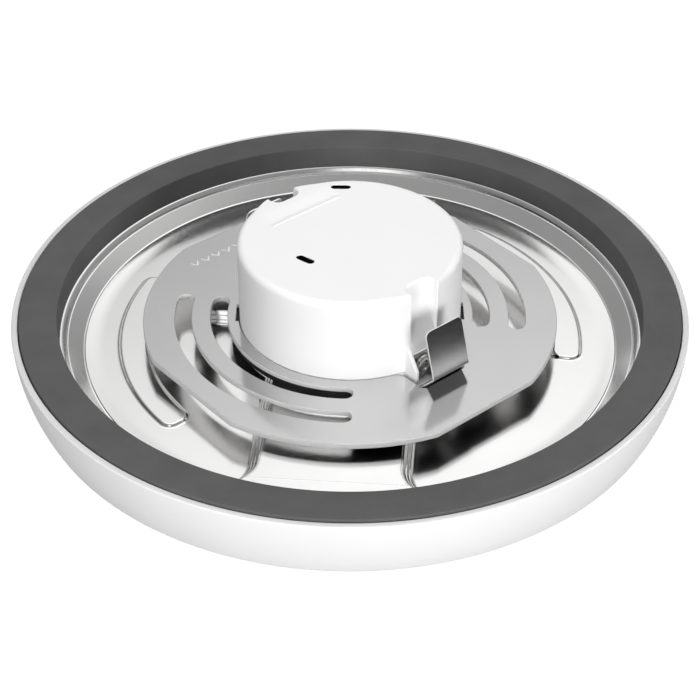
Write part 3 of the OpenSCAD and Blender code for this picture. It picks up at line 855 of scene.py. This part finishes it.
def make_can():
    """The can: outside from the slope up, slots and recess, inside, skirt, gussets."""
    shell = Shell()
    steps = 8
    rings = []
    for k in range(steps + 1):
        z = SLOPE_END + (SLOPE_TOP - SLOPE_END) * k / steps
        rings.append(shell.ring(can_upper_loop(0, groove_back(z)), z))
    for k in range(steps + 1):
        a = radians(90 * k / steps)
        loop = can_upper_loop(CAN_EDGE_R * (1 - cos(a)), GROOVE_R)
        rings.append(shell.ring(loop, CAN_TOP - CAN_EDGE_R * (1 - sin(a))))
    shell.stack(rings)
    slots = [add_top_slot(shell, *slot) for slot in TOP_SLOTS]
    shell.cap(rings[-1], *(mouth for mouth, _ in slots), add_recess(shell))
    inside_foot = add_inside(shell, [drop for _, drop in slots])
    add_skirt(shell, rings[0], inside_foot)
    add_gussets(shell)
    return shell.done("can", WHITE_PLASTIC, "fixture", ["driver_can"], CAN_INSIDE_PAINTED_SHADE)


def add_top_slot(shell, radius, azimuth, lie):
    """A slot through the can's top: its outer mouth, and the rim of the hollow behind it."""
    slot, hollow = (
        turned(moved(turned(oblong_loop(*size), lie), radius, 0), azimuth)[::-1]
        for size in (TOP_SLOT_SIZE, WEB_SIZE)
    )
    mouth = shell.ring(shift(slot, -TOP_SLOT_EDGE), CAN_TOP)
    foot = shell.ring(slot, CAN_TOP - SLOT_WEB)
    shell.stack([mouth, shell.ring(slot, CAN_TOP - TOP_SLOT_EDGE), foot])
    before = set(shell.bm.faces)
    web = shell.ring(hollow, CAN_TOP - SLOT_WEB)
    shell.cap(web, foot)
    drop = shell.ring(hollow, CAN_TOP - CAN_ROOF)
    shell.bridge(web, drop)
    # The web and the hollow get the near-black painted shade.
    shell.line(shell.added(before))
    return mouth, drop


def add_recess(shell):
    """The shallow recess in the can's top, as a grid of quads. Its rim is returned."""
    r0, r1, length, depth = RECESS
    steps_across = (
        (r0 - 0.55, 0), (r0 - 0.25, -0.14), (r0 - 0.05, -0.1), (r0 + 0.08, depth),
        (r0 + 0.8, depth * 0.85), (r0 + 1.8, depth * 0.35), (r1, 0),
    )
    steps_along = ((-1.16, 0), (-1, 0.9), (-0.97, 1), (0.97, 1), (1, 0.9), (1.16, 0))
    rows = []
    for r, down in steps_across:
        row = []
        for along, share in steps_along:
            x, y = turned([(r, along * length / 2)], CLIP_AZ[1])[0]
            row.append(shell.bm.verts.new((x, y, CAN_TOP - down * share)))
        rows.append(row)
    for a, b in zip(rows, rows[1:]):
        for i in range(len(a) - 1):
            shell.bm.faces.new((a[i], a[i + 1], b[i + 1], b[i]))
    rim = rows[0] + [row[-1] for row in rows[1:-1]] + rows[-1][::-1]
    rim += [row[0] for row in rows[-2:0:-1]]
    return rim


def add_inside(shell, hollow_rims):
    """The can's inner wall and ceiling, clear of the grooves. Its foot is returned."""
    wall_r = CAN_R - CAN_WALL
    cut_x = sqrt(wall_r**2 - DENT_HALF**2)
    meet = degrees(asin(DENT_HALF / wall_r))
    corners = [
        (cut_x, -DENT_HALF), (DENT_R, -DENT_HALF), (DENT_R, DENT_HALF), (cut_x, DENT_HALF)
    ]
    loop = []
    for azimuth in CLIP_AZ:
        loop += turned(corners, azimuth)
        loop += arc((0, 0), wall_r, azimuth + meet + 1, azimuth + 179 - meet, 80)
    before = set(shell.bm.faces)
    head, foot = shell.ring(loop, CAN_TOP - CAN_ROOF), shell.ring(loop, CAN_BOTTOM)
    shell.bridge(head, foot)
    shell.cap(head, *hollow_rims)
    # The fill also spans the dents, where the ceiling would show in the grooves.
    for face in shell.added(before):
        middle = face.calc_center_median()
        for azimuth in CLIP_AZ:
            r, t = turned([(middle.x, middle.y)], -azimuth)[0]
            if r > DENT_R + 0.1 and abs(t) < DENT_HALF - 0.1:
                shell.bm.faces.remove(face)
                break
    # The inner wall and ceiling get the near-black painted shade.
    shell.line(shell.added(before))
    return foot


def add_skirt(shell, slope_foot, inside_foot):
    """The can's outside below the slope, with the seam, closed at both of its ends."""
    loop = can_lower_loop(SEAT_R)
    seam_loop = shift(loop, -SEAM_DEPTH)
    loops = [loop, loop, seam_loop, seam_loop, loop, loop]
    heights = [CAN_BOTTOM, *SEAM_Z, SEAT_TOP]
    skirt = [shell.ring(points, z) for points, z in zip(loops, heights)]
    skirt.append(shell.ring(can_lower_loop(groove_back(SLOPE_END)), SLOPE_END))
    shell.stack(skirt)
    shell.cap(skirt[0], inside_foot)
    shell.cap(skirt[-1], slope_foot)


def add_gussets(shell):
    """Two gussets beside each clip's leg."""
    top_r, top_z = GUSSET_TOP
    profile = rounded(
        [
            (GUSSET_ROOT_R, CAN_BOTTOM, 0), (GUSSET_FRONT, CAN_BOTTOM, 0.2),
            (GUSSET_FRONT, GUSSET_KNEE_Z, 0.3), (top_r, top_z, 0.4),
            (GUSSET_ROOT_R, top_z, 0),
        ],
        3,
    )
    for azimuth in CLIP_AZ:
        for side in (-1, 1):
            add_fin(shell, profile, side * (GUSSET_HALF - GUSSET_T / 2), azimuth)


def add_fin(shell, profile, middle, azimuth):
    """A gusset standing in the radial plane of an azimuth, from its (radius, height) profile."""
    half, edge = GUSSET_T / 2, GUSSET_EDGE
    rings = []
    for t, inset in ((-half, edge), (-half + edge, 0), (half - edge, 0), (half, edge)):
        ring = []
        for r, z in shift(profile, -inset):
            x, y = turned([(r, middle + t)], azimuth)[0]
            ring.append(shell.bm.verts.new((x, y, z)))
        rings.append(ring)
    shell.tube(rings)


def strip_path():
    """Middle line of a clip as (radius, height), from the leg's top round to the tip."""
    leg_r = SEAT_R + CLIP_T / 2
    outer_bend_r, outer_knee_r = BEND_R + CLIP_T / 2, KNEE_R + CLIP_T / 2
    bx, bz = BEND_C
    reach = hypot(KNEE[0] - bx, KNEE[1] - bz)
    ramp = degrees(atan2(KNEE[1] - bz, KNEE[0] - bx) + asin(outer_bend_r / reach))
    lean = degrees(atan2(TIP[1] - KNEE[1], TIP[0] - KNEE[0]))
    turn = radians(lean - ramp)
    setback = outer_knee_r * tan(turn / 2)
    u = Vector((cos(radians(ramp)), sin(radians(ramp))))
    n = Vector((-u.y, u.x))
    centre = Vector(KNEE) - u * setback + n * outer_knee_r
    path = [(leg_r, z) for z in LEG_HEIGHTS]
    path += arc(BEND_C, BEND_R, 180, 270 + ramp, BEND_STEPS)
    start = Vector(path[-1])
    stop = centre - n * KNEE_R
    path += [tuple(start.lerp(stop, k / 16)) for k in range(1, 16)]
    path += arc(centre, KNEE_R, ramp - 90, lean - 90, 9)
    start = Vector(path[-1])
    stop = Vector(TIP) + Vector((-sin(radians(lean)), cos(radians(lean)))) * (CLIP_T / 2)
    path += [tuple(start.lerp(stop, k / 10)) for k in range(1, 9)]
    for k in range(1, 9):
        back = TIP_CORNER * (1 - sin(radians(90 * k / 8)))
        path.append(tuple(stop + (start - stop).normalized() * back))
    return path


def make_clip(name, azimuth, nodes):
    """One clip swept along its path. It bends across its hinge; its cut edges are lined with a
    rough sheared-edge material, made whitish as a painted highlight.
    """
    path = strip_path()
    lengths = [0.0]
    for a, b in zip(path, path[1:]):
        lengths.append(lengths[-1] + hypot(b[0] - a[0], b[1] - a[1]))
    ramp_at = lengths[len(LEG_HEIGHTS) + BEND_STEPS]
    t, edge = CLIP_T / 2, CLIP_EDGE
    rings = []
    shell = Shell()
    for i, (r, z) in enumerate(path):
        before, after = path[max(0, i - 1)], path[min(len(path) - 1, i + 1)]
        d = Vector((after[0] - before[0], after[1] - before[1])).normalized()
        out = Vector((d.y, -d.x))
        along = lengths[i] - ramp_at
        grow = min(1.0, max(0.0, (along - WIDEN_FROM) / WIDEN_RUN))
        half = (LEG_W + (BLADE_W - LEG_W) * grow) / 2
        left = lengths[-1] - lengths[i]
        if left < TIP_CORNER:
            half -= TIP_CORNER - sqrt(max(0.0, TIP_CORNER**2 - (TIP_CORNER - left) ** 2))
        section = [
            (half - edge, t), (half, t - edge), (half, edge - t), (half - edge, -t),
            (edge - half, -t), (-half, edge - t), (-half, t - edge), (edge - half, t),
        ]
        ring = []
        for across, off in section:
            x, y = turned([(r + out.x * off, across)], azimuth)[0]
            ring.append(shell.bm.verts.new((x, y, z + out.y * off)))
        rings.append(ring)
    shell.stack(rings)
    sides = len(rings[0])
    broad = (3, 7)  # which sides of the section are the strip's two faces
    shell.line(f for i, f in enumerate(shell.bm.faces) if i % sides not in broad)
    before = set(shell.bm.faces)
    shell.cap(rings[0])
    shell.cap(rings[-1])
    shell.line(shell.added(before))
    clip = shell.done(name, SPRING_METAL, lining=SHEARED_EDGE_AND_HIGHLIGHT)
    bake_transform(clip)
    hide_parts(*nodes)
    return clip


def make_clip_screws():
    """Pan-head screws with a cross recess, one in each clip's leg."""
    shell = Shell()
    seat = SEAT_R + CLIP_T + SCREW_GAP
    # (radius, distance out from the leg), from the shank's end to the rim of the recess.
    profile = (
        (SHANK_R, -SHANK_L), (SHANK_R, 0.0), (HEAD_R - 0.15, 0.0), (HEAD_R, 0.15),
        (HEAD_R, 0.45), (HEAD_R - 0.12, 0.75), (HEAD_R - 0.5, HEAD_H - 0.1),
        (HEAD_R - 1.0, HEAD_H), (1.55, HEAD_H),
    )
    # The cross at its mouth and its floor: depth, reach of an arm, half width of an arm.
    cross = ((0.0, 1.5, 0.62), (0.75, 1.15, 0.45))
    angles = [2 * pi * k / SCREW_STEPS for k in range(SCREW_STEPS)]
    for azimuth in CLIP_AZ:
        rings = [
            screw_ring(shell, [r] * SCREW_STEPS, seat + out, azimuth) for r, out in profile
        ]
        for depth, arm, half in cross:
            radii = [
                min(arm, half / max(1e-3, min(abs(cos(a)), abs(sin(a))))) for a in angles
            ]
            rings.append(screw_ring(shell, radii, seat + HEAD_H - depth, azimuth))
        shell.tube(rings)
    return shell.done("clip_screw_pair", SCREW_METAL, "fixture", ["clip_screws"])


def screw_ring(shell, radii, radial, azimuth):
    """A ring about a screw's axis, at a distance from the can's own axis."""
    ring = []
    for k, r in enumerate(radii):
        a = 2 * pi * k / len(radii)
        across = SCREW_AT[0] + r * cos(a)
        x, y = turned([(radial, across)], azimuth)[0]
        ring.append(shell.bm.verts.new((x, y, SCREW_AT[1] + r * sin(a))))
    return ring


make_trim()
make_lens()
make_gasket()
make_pan()
make_plate()
make_can()
make_clip("clip_a", CLIP_AZ[0], ["clip_a_leg", "clip_a_blade"])
make_clip("clip_b", CLIP_AZ[1], ["clip_b_leg", "clip_b_blade"])
make_clip_screws()


# ---------- materials of the CAD pieces that stay ----------

CAD_LOOKS = {
    "white_reflector": ((0.9, 0.9, 0.9), 0.3, 0.0, ["reflector_ring"]),
    "white_solder_mask": ((0.88, 0.88, 0.86), 0.35, 0.0, ["led_board"]),
    "phosphor": ((0.85, 0.72, 0.2), 0.4, 0.0, ["led_chips"]),
    "silicone_sheet": ((0.5, 0.6, 0.7), 0.6, 0.0, ["thermal_pad"]),
    "zinc_plated": ((0.62, 0.62, 0.6), 0.3, 1.0, ["pan_screws", "board_screws", "can_screws"]),
    "ivory_nylon": ((0.82, 0.78, 0.66), 0.45, 0.0, ["board_connector"]),
    "lead_insulation": ((0.45, 0.03, 0.03), 0.4, 0.0, ["output_leads"]),
    "black_moulding": (
        (0.012, 0.012, 0.012), 0.55, 0.0,
        ["lead_grommet", "driver_base", "bridge_rectifier", "switch_transistor", "output_diode"],
    ),
    "green_solder_mask": ((0.02, 0.14, 0.05), 0.3, 0.0, ["driver_pcb"]),
    "sintered_ferrite": ((0.05, 0.05, 0.055), 0.6, 0.0, ["transformer_core"]),
    "polyester_tape": ((0.75, 0.5, 0.05), 0.35, 0.0, ["transformer_coil", "film_capacitor"]),
    "shrink_sleeve": ((0.02, 0.03, 0.1), 0.3, 0.0, ["bulk_capacitor", "output_capacitor"]),
    "enamelled_winding": ((0.35, 0.12, 0.04), 0.3, 0.3, ["line_choke"]),
    "epoxy_dip": ((0.06, 0.16, 0.35), 0.4, 0.0, ["varistor"]),
    "epoxy_coat": ((0.12, 0.3, 0.22), 0.4, 0.0, ["fuse_resistor"]),
}
for look, (colour, rough, metallic, nodes) in CAD_LOOKS.items():
    material = surface(look, colour, rough, metallic, vary=0.08, mottle=300, grain=3500,
                       depth=8e-6)
    for node in nodes:
        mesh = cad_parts[node].data
        mesh.materials.clear()
        mesh.materials.append(material)


# ---------- studio ----------


def make_floor():
    """A white floor that glows by itself and that the metal doesn't see."""
    bpy.ops.mesh.primitive_plane_add(size=60, location=(0, 0, -0.0003))
    floor = bpy.context.object
    floor.name = "floor"
    material, _, _, shader = new_material("white_sweep")
    shader.inputs["Base Color"].default_value = (0.05, 0.05, 0.05, 1)
    shader.inputs["Roughness"].default_value = 0.9
    shader.inputs["Specular IOR Level"].default_value = 0.0
    shader.inputs["Emission Color"].default_value = (1, 1, 1, 1)
    shader.inputs["Emission Strength"].default_value = 1.0
    floor.data.materials.append(material)
    floor.visible_glossy = False
    floor.visible_diffuse = False


def make_light(name, place, size, power):
    """A round soft light aimed at the origin, which the metal doesn't see."""
    data = bpy.data.lights.new(name, "AREA")
    data.shape = "DISK"
    data.size = size
    data.energy = power
    light = bpy.data.objects.new(name, data)
    light.location = place
    light.rotation_mode = "QUATERNION"
    light.rotation_quaternion = (-Vector(place)).to_track_quat("-Z", "Y")
    light.visible_glossy = False
    bpy.context.scene.collection.objects.link(light)


def make_world():
    """What the metal sees: a big soft light above and behind, two panels, a pale ground."""
    world = bpy.data.worlds.new("studio")
    bpy.context.scene.world = world
    world.use_nodes = True
    nodes, links = world.node_tree.nodes, world.node_tree.links
    coords = nodes.new("ShaderNodeTexCoord")

    def glow(towards, stops):
        """Brightness by the cosine of the angle to a direction, as (cosine, level) stops."""
        facing = nodes.new("ShaderNodeVectorMath")
        facing.operation = "DOT_PRODUCT"
        facing.inputs[1].default_value = towards
        links.new(coords.outputs["Generated"], facing.inputs[0])
        ramp = nodes.new("ShaderNodeValToRGB")
        elements = ramp.color_ramp.elements
        while len(elements) < len(stops):
            elements.new(0.5)
        for element, (place, level) in zip(elements, stops):
            element.position = place
            element.color = (level, level, level, 1)
        links.new(facing.outputs["Value"], ramp.inputs["Fac"])
        return ramp.outputs["Color"]

    total = glow(
        (0.1, 0.46, 0.882),
        ((0.12, 0.015), (0.36, 0.19), (0.77, 0.25), (0.86, 0.54), (0.91, 0.79), (1.0, 1.0)),
    )
    for extra in (
        glow((-0.1, 0.99, 0.12), ((0.9, 0.0), (0.97, 0.8))),
        glow((-0.067, -0.704, 0.707), ((0.965, 0.0), (0.985, 0.75))),
        glow((0, 0, -1), ((0.2, 0.0), (0.7, 0.42))),
    ):
        both = nodes.new("ShaderNodeMix")
        both.data_type = "RGBA"
        both.blend_type = "ADD"
        both.inputs["Factor"].default_value = 1.0
        links.new(total, both.inputs["A"])
        links.new(extra, both.inputs["B"])
        total = both.outputs["Result"]
    links.new(total, nodes["Background"].inputs["Color"])
    nodes["Background"].inputs["Strength"].default_value = 1.3


def make_camera():
    """The view that was solved from the circles in the photograph."""
    data = bpy.data.cameras.new("camera")
    camera = bpy.data.objects.new("camera", data)
    bpy.context.scene.collection.objects.link(camera)
    elevation, azimuth, distance = radians(37.07), radians(4.8), 0.5084
    target = Vector((0, 0, 0.00405))
    back = Vector(
        (sin(azimuth) * cos(elevation), -cos(azimuth) * cos(elevation), sin(elevation))
    )
    camera.location = target + back * distance
    camera.rotation_mode = "QUATERNION"
    camera.rotation_quaternion = (-back).to_track_quat("-Z", "Y")
    data.lens = 96.69
    data.shift_y = -0.00626
    data.clip_start, data.clip_end = 0.01, 20
    bpy.context.scene.camera = camera


make_floor()
make_world()
make_light("key", (0.8, -1.1, 0.25), 0.6, 14)
make_light("fill", (-0.5, -1.2, 0.5), 0.9, 11)
make_light("overhead", (0, 0.1, 1.5), 1.2, 6)
make_camera()
bpy.context.scene.view_settings.view_transform = "Standard"
